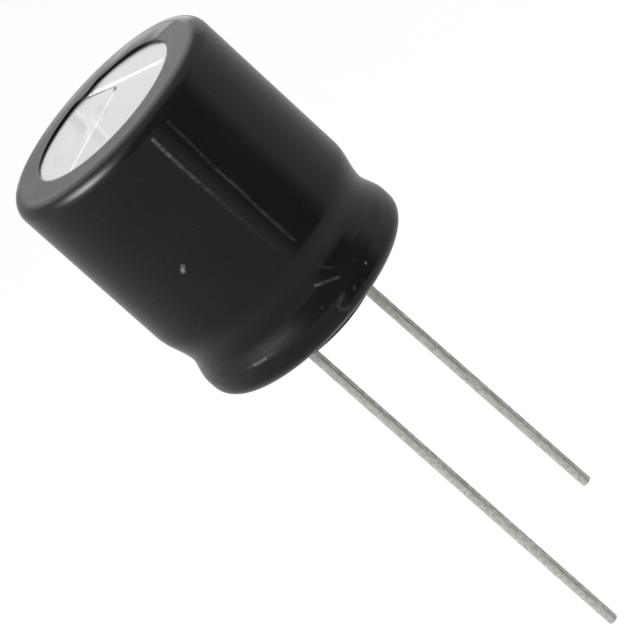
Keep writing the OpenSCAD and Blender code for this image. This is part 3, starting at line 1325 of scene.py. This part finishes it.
@dataclass
class Can:
    """The drawn can: its scored vent end, its bead and its curled edge, in one wall."""

    shape: CanShape
    bar_offset: float = 3.15
    bar_len: float = 9.4
    bar_shift: float = 0.2
    bar_lean: float = 10.0
    stem_gap: float = 0.8
    stem_len: float = 8.2
    stem_shift: float = 0.2
    stem_top_shift: float = 0.05
    nick_from: tuple[float, float] = (0.0, 0.1)
    nick_to: tuple[float, float] = (0.3, 0.25)
    score_turn: float = 3.5
    disc_r: float = 6.9
    disc_edge: float = 0.5
    disc_steps: int = 240
    ring_r: float = 7.3
    crease: float = 55.0
    finish: AluminiumFinish = field(default_factory=AluminiumFinish)

    def score_lines(self) -> list[ScoreLine]:
        """The bar and the stem of the T, and the nick at the stem's head.

        Returns:
            The pressed lines, turned as the source turns them.
        """
        turn, lean = math.radians(self.score_turn), math.radians(self.score_turn - self.bar_lean)
        low, high = -self.bar_len / 2 - self.bar_shift, self.bar_len / 2 - self.bar_shift
        bar = [turned_place(self.bar_offset, y, lean) for y in (low, high)]
        head = self.bar_offset - self.stem_gap
        top = turned_place(head, self.stem_top_shift, turn)
        foot = turned_place(head - self.stem_len, self.stem_shift, turn)
        nick = [turned_place(head + x, y, turn) for x, y in (self.nick_from, self.nick_to)]
        return [
            ScoreLine(*bar),
            ScoreLine(top, foot, width=0.16, depth=0.032, cut_depth=0.03),
            ScoreLine(*nick, width=0.10, depth=0.03, cut_depth=0.05),
        ]

    def disc(self) -> tuple[np.ndarray, np.ndarray, np.ndarray]:
        """The vent end as a height over a square grid pressed into a circle.

        A grid point's larger coordinate becomes its radius and the ratio of the two its
        angle. Its height is the end's, less the depth of the deepest pressed line.

        Returns:
            The places, the quads, and the vertex numbers round the border.
        """
        count = self.disc_steps + 1
        side = np.linspace(-1, 1, count)
        a, b = np.meshgrid(side, side, indexing="ij")
        wide = np.abs(a) > np.abs(b)
        first = np.where(wide, a, b)
        safe = np.where(first == 0, 1, first)
        ratio = np.where(wide, b, a) / safe
        angle = np.where(wide, np.pi / 4 * ratio, np.pi / 2 - np.pi / 4 * ratio)
        x, y = self.disc_r * first * np.cos(angle), self.disc_r * first * np.sin(angle)
        depth = np.max([score.sink(x, y) for score in self.score_lines()], axis=0)
        inside = np.clip((self.disc_r - np.hypot(x, y)) / self.disc_edge, 0, 1)
        height = self.shape.end_z - depth * inside
        number = np.arange(count * count).reshape(count, count)
        quads = np.stack(
            [number[:-1, :-1], number[1:, :-1], number[1:, 1:], number[:-1, 1:]], axis=-1
        ).reshape(-1, 4)
        border = np.concatenate(
            [number[-1, :-1], number[::-1, -1][:-1], number[0, ::-1][:-1], number[:-1, 0]]
        )
        return np.stack([x, y, height], axis=-1).reshape(-1, 3), quads, border

    def profile(self) -> np.ndarray:
        """The wall's section outside the disc: shoulder, bead, curl, then the inside up to the axis.

        Returns:
            The profile points, the last of them on the axis.
        """
        shape = self.shape
        tip_r, tip_z = shape.curl_centre[0] - shape.curl_r, shape.curl_centre[1]
        corner = shape.shoulder_r - shape.wall
        inner_centre = (shape.case_r - shape.shoulder_r, shape.end_z - shape.end_wall - corner)
        return joined(
            line((self.ring_r, shape.end_z), (shape.case_r - shape.shoulder_r, shape.end_z), 3),
            shape.shoulder(0, 7.5),
            shape.bead(shape.bead_depth, 0, 0, 36),
            arc(shape.curl_centre, shape.curl_r, 0, -180, 7.5),
            line((tip_r, tip_z), (tip_r + shape.wall, tip_z), 3),
            arc(shape.curl_centre, shape.curl_r - shape.wall, -180, 0, 10),
            shape.bead(shape.bead_depth, 0, shape.wall, 30)[::-1],
            arc(inner_centre, corner, 0, 90, 15),
            np.array([[0.0, shape.end_z - shape.end_wall]]),
        )

    def build(self) -> bpy.types.Object:
        """Makes the can from the disc, a ring that goes from fine to coarse, and the turned wall.

        Returns:
            The piece.
        """
        places, quads, border = self.disc()
        profile = self.profile()
        segments = self.disc_steps
        wall = turned_grid(profile[:-1], even_angles(segments) - np.pi / 4)
        number = len(places) + np.arange(wall.shape[0] * segments).reshape(-1, segments)
        pole = number.max() + 1
        fine = np.append(border, border[0])
        coarse = np.append(number[0], number[0][0])
        step = len(border) // segments
        ring = [np.column_stack([coarse[:-1], fine[k + 1 :: step], fine[k:-1:step]]) for k in range(step)]
        closing = np.column_stack([coarse[:-1], coarse[1:], fine[step::step]])
        fan = np.column_stack([np.full(segments, pole), np.roll(number[-1], -1), number[-1]])
        points = np.concatenate([places, wall.reshape(-1, 3), [[0.0, 0.0, profile[-1, 1]]]])
        faces = [quads, *ring, closing, wrapped_quads(number[:-1], number[1:]), fan]
        return self.dress(mesh_object("aluminium_can", points, faces, self.crease))

    def dress(self, piece: bpy.types.Object) -> bpy.types.Object:
        """Gives the can its finish and its place in the frame.

        Args:
            piece: The can.

        Returns:
            The same piece.
        """
        return seated(piece, "can", self.finish.material())


@dataclass
class Bung:
    """The rubber bung: seating pad, recessed face, grip in the bead, and two bored holes."""

    shape: CanShape
    gap: float = 0.02
    top: float = 6.6
    pad_r: float = 5.1
    pad_round: float = 0.35
    fillet: float = 0.12
    face_recess: float = 0.45
    grip_start: float = 0.45
    stem_r: float = 1.1
    mouth_r: float = 0.65
    mouth_bevel: float = 0.08
    mouth_z: float = -0.02
    weld_h: float = 1.0
    weld_r: float = 0.8
    hole_past: float = 0.5
    hole_segments: int = 48
    segments: int = 144
    crease: float = 35.0
    finish: RubberFinish = field(default_factory=RubberFinish)

    def profile(self) -> np.ndarray:
        """The bung's section from the middle of its pad to the middle of its inner face.

        Returns:
            The profile points.
        """
        shape = self.shape
        skin = shape.wall + self.gap
        face_z = shape.curl_z + self.face_recess
        shoulder_z = shape.curl_centre[1] + self.gap
        neck_r = shape.rim_r - 2 * shape.curl_r - self.gap
        z = np.linspace(shoulder_z + self.grip_start, self.top, 26)
        grip = np.column_stack([shape.wall_radius(z, shape.bead_depth, 0, skin), z])
        flat_r = self.pad_r - self.pad_round
        return joined(
            line((0, 0), (flat_r, 0), 8),
            arc((flat_r, self.pad_round), self.pad_round, -90, 0, 6),
            arc((self.pad_r + self.fillet, face_z - self.fillet), self.fillet, 180, 90, 15),
            np.array([[neck_r, face_z], [neck_r, shoulder_z], [shape.rim_r - skin, shoulder_z]]),
            grip,
            np.array([[0.0, self.top]]),
        )

    def hole(self, side: int) -> bpy.types.Object:
        """The space of one lead and its tab: mouth, weld taper and bore, turned about its axis.

        The steps stand half a step round, so that no vertex meets the bung's own.

        Args:
            side: Which lead, -1 or 1.

        Returns:
            The solid that is cut away.
        """
        mouth_r, bore_r = self.mouth_r + self.mouth_bevel, self.stem_r + self.gap
        profile = np.array(
            [
                [0.0, -self.hole_past],
                [mouth_r, -self.hole_past],
                [mouth_r, self.mouth_z],
                [self.mouth_r, self.mouth_bevel],
                [self.weld_r + self.gap, self.weld_h],
                [bore_r, self.weld_h],
                [bore_r, self.top + self.hole_past],
                [0.0, self.top + self.hole_past],
            ]
        )
        angle = even_angles(self.hole_segments) + np.pi / self.hole_segments
        grid = turned_grid(profile, angle) + np.array([side * self.shape.lead_x, 0.0, 0.0])
        return grid_object(f"hole_{side}", grid, Ends.POLES)

    def build(self) -> bpy.types.Object:
        """Turns the section and cuts both holes through it.

        Returns:
            The piece.
        """
        grid = turned_grid(self.profile(), even_angles(self.segments))
        piece = grid_object("rubber_bung", grid, Ends.POLES)
        for side in (-1, 1):
            tool = self.hole(side)
            cut = piece.modifiers.new("hole", "BOOLEAN")
            cut.operation = "DIFFERENCE"
            cut.solver = "EXACT"
            cut.object = tool
            apply_modifiers(piece)
            bpy.data.objects.remove(tool)
        shade_smooth(piece.data, self.crease)
        return self.dress(piece)

    def dress(self, piece: bpy.types.Object) -> bpy.types.Object:
        """Gives the bung its finish and its place in the frame.

        Args:
            piece: The bung.

        Returns:
            The same piece.
        """
        return seated(piece, "bung", self.finish.material())


@dataclass
class Lead:
    """One tinned wire: it flares into its weld above, leans a little, and ends in a snipped tip."""

    node: str
    x: float
    length: float
    exit_lean: float
    tip_lean: float
    wire_r: float = 0.4
    weld_r: float = 0.8
    weld_h: float = 1.0
    flare_power: float = 1.3
    run_top: float = -0.2
    chamfer: float = 0.1
    tip_tilt: float = 0.06
    tilt_run: float = 0.6
    lean_way: tuple[float, float] = (0.786, -0.618)
    lean_from: float = 0.9
    lean_to: float = -0.15
    segments: int = 48
    crease: float = 50.0
    finish: WireFinish = field(default_factory=WireFinish)

    def profile(self) -> np.ndarray:
        """The wire's section, from the weld down to the tip.

        Over the flare the radius grows with a power of the height's share.

        Returns:
            The profile points.
        """
        flare_z = np.linspace(self.weld_h, 0, 14)
        share = (flare_z / self.weld_h) ** self.flare_power
        flare = np.column_stack([self.wire_r + (self.weld_r - self.wire_r) * share, flare_z])
        run = line((self.wire_r, self.run_top), (self.wire_r, self.chamfer - self.length), 90)
        tip = arc((self.wire_r - self.chamfer, self.chamfer - self.length), self.chamfer, 0, -90, 15)
        return joined(np.array([[0.0, self.weld_h]]), flare, run, tip, np.array([[0.0, -self.length]]))

    def lean(self, z: np.ndarray) -> np.ndarray:
        """How far the wire's middle stands off its axis at each height.

        Nothing at the weld, then the exit's lean by way of a smooth step, then evenly on to
        the tip's lean.

        Args:
            z: Heights.

        Returns:
            An offset for each height.
        """
        step = np.clip((self.lean_from - z) / (self.lean_from - self.lean_to), 0, 1)
        eased = step * step * (3 - 2 * step)
        along = np.clip(-z / self.length, 0, 1)
        return eased * (self.exit_lean + (self.tip_lean - self.exit_lean) * along)

    def build(self) -> bpy.types.Object:
        """Turns the profile, tilts the cut end and carries every ring along the leaning line.

        Returns:
            The piece.
        """
        profile = self.profile()
        grid = turned_grid(profile, even_angles(self.segments))
        off = self.lean(profile[:, 1])[:, None]
        end = np.clip((-self.length + self.tilt_run - grid[..., 2]) / self.tilt_run, 0, 1)
        grid[..., 2] += end * self.tip_tilt * (1 + grid[..., 0] / self.wire_r) / 2
        grid[..., 0] += self.x + off * self.lean_way[0]
        grid[..., 1] += off * self.lean_way[1]
        return self.dress(grid_object(self.node.replace("lead", "wire"), grid, Ends.POLES, self.crease))

    def dress(self, piece: bpy.types.Object) -> bpy.types.Object:
        """Gives the wire its finish and its place in the frame.

        Args:
            piece: The wire.

        Returns:
            The same piece.
        """
        return seated(piece, self.node, self.finish.material(self.off_axis))

    def off_axis(self, sketch: NodeSketch) -> Socket:
        """How far a place is off the leaning wire's middle, towards the side to which it leans.

        Args:
            sketch: The material's node tree.

        Returns:
            The distance in metres.
        """
        _, _, z = sketch.split()
        across = sketch.vector("DOT_PRODUCT", sketch.place(), (*self.lean_way, 0.0)).outputs["Value"]
        slope = (self.tip_lean - self.exit_lean) / self.length
        middle = sketch.math("MULTIPLY", z, -slope)
        middle = sketch.math("ADD", middle, (self.x * self.lean_way[0] + self.exit_lean) * MM)
        return sketch.math("SUBTRACT", across, middle)


@dataclass
class Inside:
    """What the can holds, whose solids keep their shapes and get their finishes here."""

    finishes: dict[str, WoundFinish | TapeFinish | TabFinish] = field(
        default_factory=lambda: {
            "wound_element": WoundFinish(),
            "closing_tape": TapeFinish(),
            "positive_tab": TabFinish(),
            "negative_tab": TabFinish(),
        }
    )

    def dress(self, nodes: dict[str, bpy.types.Object]) -> None:
        """Gives each hidden solid its material.

        Args:
            nodes: The frame's nodes by name.
        """
        for name, finish in self.finishes.items():
            data = nodes[name].data
            data.materials.clear()
            data.materials.append(finish.material())


def way(azimuth: float, elevation: float) -> Point:
    """The unit vector towards an azimuth from +X and an elevation, both in degrees."""
    a, e = math.radians(azimuth), math.radians(elevation)
    return (math.cos(a) * math.cos(e), math.sin(a) * math.cos(e), math.sin(e))


def toward(sketch: NodeSketch, azimuth: float, elevation: float) -> Socket:
    """Cosine of the angle between a tree's coordinates and a way, both of whose angles are degrees."""
    return sketch.vector("DOT_PRODUCT", sketch.place(), way(azimuth, elevation)).outputs["Value"]


@dataclass(frozen=True)
class Lobe:
    """A level that changes with the angle from one way.

    Attributes:
        azimuth: Degrees round the axis from +X to the way.
        elevation: Degrees above the horizon.
        step: The level, by the cosine of the angle.
    """

    azimuth: float
    elevation: float
    step: Step

    def level(self, sketch: NodeSketch) -> Socket:
        """The level at the tree's coordinates."""
        return self.step.of(sketch, toward(sketch, self.azimuth, self.elevation))


@dataclass(frozen=True)
class Lamp:
    """A soft box. Gloss doesn't see it, because world_gloss() draws its mirror image.

    Attributes:
        name: Its name.
        azimuth: Degrees round the axis from +X to the lamp.
        elevation: Degrees above the horizon.
        distance: Distance from the object in metres.
        width: Its width in metres.
        height: Its height in metres.
        level: Its radiance, where a white floor shows 1.
    """

    name: str
    azimuth: float
    elevation: float
    distance: float
    width: float
    height: float
    level: float

    def hang(self, target: Point) -> bpy.types.Object:
        """Hangs the lamp so that it faces the object.

        Args:
            target: The point that it faces, in metres.

        Returns:
            The lamp.
        """
        data = bpy.data.lights.new(self.name, "AREA")
        data.shape = "RECTANGLE"
        data.size = self.width
        data.size_y = self.height
        data.energy = self.level * math.pi * self.width * self.height
        lamp = bpy.data.objects.new(self.name, data)
        out = np.array(way(self.azimuth, self.elevation))
        side = np.cross((0.0, 0.0, 1.0), out)
        side = side / np.linalg.norm(side)
        turn = Matrix(np.column_stack([side, np.cross(out, side), out]).tolist()).to_4x4()
        lamp.matrix_world = Matrix.Translation((np.array(target) + out * self.distance).tolist()) @ turn
        lamp.visible_camera = False
        lamp.visible_glossy = False
        bpy.context.scene.collection.objects.link(lamp)
        return lamp


@dataclass
class Studio:
    """Camera, floor, world and lamps, in metres and degrees."""

    camera_at: Point = (-0.17266, -0.21832, 0.09968)
    right: Point = (0.3713, -0.6112, -0.6990)
    down: Point = (-0.7234, 0.2815, -0.6305)
    forward: Point = (0.5821, 0.7397, -0.3375)
    focal_px: float = 4254.6
    image_px: float = 640.0
    sensor: float = 36.0
    clip: tuple[float, float] = (0.01, 10.0)
    floor_z: float = -0.050
    floor_r: float = 1.5
    floor_sides: int = 64
    floor_tone: float = 0.8
    camera_fill: float = 0.45
    front: float = -135.0
    pale_mid: float = 0.33
    pale_swing: float = 0.13
    pale_near: Step = Step(0.04, 0.09, 1.4, 1.0)
    pale_far: Step = Step(0.15, 0.45, 1.0, 1.3)
    dark_opens: Step = Step(math.radians(-117.0), math.radians(-100.0))
    dark_closes: Step = Step(math.radians(-80.0), math.radians(-42.0), 1.0, 0.0)
    dark_from: Step = Step(0.075, 0.115)
    dark_level: float = 0.04
    plain_level: float = 0.6
    sky: Lobe = Lobe(52.0, 50.0, Step(0.76, 0.96, 0.43, 1.40))
    strips: tuple[Lobe, ...] = (
        Lobe(46.0, 3.0, Step(0.968, 0.992, 0.0, 0.75)),
        Lobe(28.0, 0.0, Step(0.88, 0.97, 0.0, 0.28)),
    )
    lens: Lobe = Lobe(258.0, 6.0, Step(0.44, 0.86, 1.0, 0.06))
    box_way: tuple[float, float] = (165.0, 32.0)
    box_power: float = 14.0
    box_foot: Step = Step(0.21, 0.58, 1.3, 10.0)
    box_head: Step = Step(0.64, 0.92, 1.0, 0.35)
    aim: Point = (0.0, 0.0, 0.010)
    lamps: tuple[Lamp, ...] = (
        Lamp("left_softbox", 168.0, 29.0, distance=0.6, width=0.40, height=0.13, level=6.0),
    )

    def place_camera(self) -> None:
        """Sets the camera where the photograph's stood."""
        data = bpy.data.cameras.new("camera")
        data.sensor_width = self.sensor
        data.lens = self.sensor * self.focal_px / self.image_px
        data.clip_start, data.clip_end = self.clip
        camera = bpy.data.objects.new("camera", data)
        axes = np.column_stack([self.right, -np.array(self.down), -np.array(self.forward)])
        square, _, other = np.linalg.svd(axes)
        turn = Matrix((square @ other).tolist()).to_4x4()
        camera.matrix_world = Matrix.Translation(self.camera_at) @ turn
        bpy.context.scene.collection.objects.link(camera)
        bpy.context.scene.camera = camera

    def floor_gloss(self, sketch: NodeSketch) -> Socket:
        """The floor as gloss shows it: palest behind the object, dim in front, dark at the lens.

        The level is a middle one less a share of the cosine of the angle from the front. The
        dark place runs between two angles, from a distance on.

        Args:
            sketch: The floor's node tree.

        Returns:
            The level.
        """
        x, y, _ = sketch.split()
        angle = sketch.math("ARCTAN2", y, x)
        distance = sketch.from_axis()
        from_front = sketch.math("COSINE", sketch.math("SUBTRACT", angle, math.radians(self.front)))
        pale = sketch.math("SUBTRACT", self.pale_mid, sketch.math("MULTIPLY", from_front, self.pale_swing))
        for step in (self.pale_near, self.pale_far):
            pale = sketch.math("MULTIPLY", pale, step.of(sketch, distance))
        dark = sketch.math("MULTIPLY", self.dark_opens.of(sketch, angle), self.dark_closes.of(sketch, angle))
        dark = sketch.math("MULTIPLY", dark, self.dark_from.of(sketch, distance))
        return sketch.math("MULTIPLY", pale, sketch.between(dark, 0.0, 1.0, 1.0, self.dark_level))

    def lay_floor(self) -> None:
        """Lays the pale floor, which keeps the object's shadow and shows white to the camera."""
        points = turned_grid(np.array([[self.floor_r, self.floor_z]]), even_angles(self.floor_sides))[0]
        mesh = bpy.data.meshes.new("floor")
        mesh.from_pydata(points.tolist(), [], [list(range(len(points)))])
        floor = bpy.data.objects.new("floor", mesh)
        bpy.context.scene.collection.objects.link(floor)
        sketch = SurfaceSketch("floor_paper")
        path = sketch.add("ShaderNodeLightPath")
        paper = sketch.add("ShaderNodeBsdfDiffuse")
        sketch.feed(paper.inputs["Color"], (self.floor_tone,) * 3)
        to_camera = sketch.math("MULTIPLY", path.outputs["Is Camera Ray"], self.camera_fill)
        lit = sketch.add("ShaderNodeAddShader")
        sketch.feed(lit.inputs[0], paper.outputs[0])
        sketch.feed(lit.inputs[1], sketch.glow("ShaderNodeEmission", to_camera))
        gloss = sketch.glow("ShaderNodeEmission", self.floor_gloss(sketch))
        seen = sketch.choose(path.outputs["Is Glossy Ray"], lit.outputs[0], gloss)
        below = sketch.add("ShaderNodeNewGeometry").outputs["Backfacing"]
        clear = sketch.add("ShaderNodeBsdfTransparent").outputs[0]
        side = sketch.choose(below, seen, clear)
        sketch.feed(sketch.tree.nodes["Material Output"].inputs["Surface"], side)
        mesh.materials.append(sketch.material)

    def world_gloss(self, sketch: NodeSketch) -> Socket:
        """The world as gloss shows it: bright behind, a low strip, a soft box, dark at the lens.

        Each part is a function of the dot product of the way looked with a way of its own.

        Args:
            sketch: The world's node tree.

        Returns:
            The level.
        """
        _, _, height = sketch.split()
        level = self.sky.level(sketch)
        for strip in self.strips:
            level = sketch.math("ADD", level, strip.level(sketch))
        box = sketch.math("MAXIMUM", toward(sketch, *self.box_way), 0.0)
        box = sketch.math("POWER", box, self.box_power)
        reach = sketch.math("MULTIPLY", self.box_foot.of(sketch, height), self.box_head.of(sketch, height))
        level = sketch.math("ADD", level, sketch.math("MULTIPLY", box, reach))
        return sketch.math("MULTIPLY", level, self.lens.level(sketch))

    def light_world(self) -> None:
        """Lights the world: white to the camera, graded to gloss, and one plain level to the rest."""
        world = bpy.data.worlds.new("studio")
        bpy.context.scene.world = world
        world.use_nodes = True
        world.node_tree.nodes.clear()
        sketch = NodeSketch(world.node_tree, Pattern.WAY)
        path = sketch.add("ShaderNodeLightPath")
        plain = sketch.glow("ShaderNodeBackground", self.plain_level)
        graded = sketch.glow("ShaderNodeBackground", self.world_gloss(sketch))
        white = sketch.glow("ShaderNodeBackground", 1.0)
        lit = sketch.choose(path.outputs["Is Glossy Ray"], plain, graded)
        seen = sketch.choose(path.outputs["Is Camera Ray"], lit, white)
        sketch.feed(sketch.add("ShaderNodeOutputWorld").inputs["Surface"], seen)

    def set_up(self) -> None:
        """Sets up the whole studio."""
        bpy.context.scene.view_settings.view_transform = "Standard"
        self.place_camera()
        self.lay_floor()
        self.light_world()
        for lamp in self.lamps:
            lamp.hang(self.aim)


def main() -> None:
    """Builds every piece in order."""
    logging.basicConfig(level=logging.INFO, format="%(message)s")
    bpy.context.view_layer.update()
    shape = CanShape()
    makers = (
        ShrinkFilm(shape),
        Can(shape),
        Bung(shape),
        Lead("positive_lead", x=-shape.lead_x, length=31.1, exit_lean=0.22, tip_lean=0.42),
        Lead("negative_lead", x=shape.lead_x, length=24.4, exit_lean=0.22, tip_lean=0.59),
    )
    for maker in makers:
        piece = maker.build()
        LOG.info("built %s with %d faces", piece.name, len(piece.data.polygons))
    Inside().dress(frame["nodes"])
    Studio().set_up()


if __name__ == "__main__":
    main()
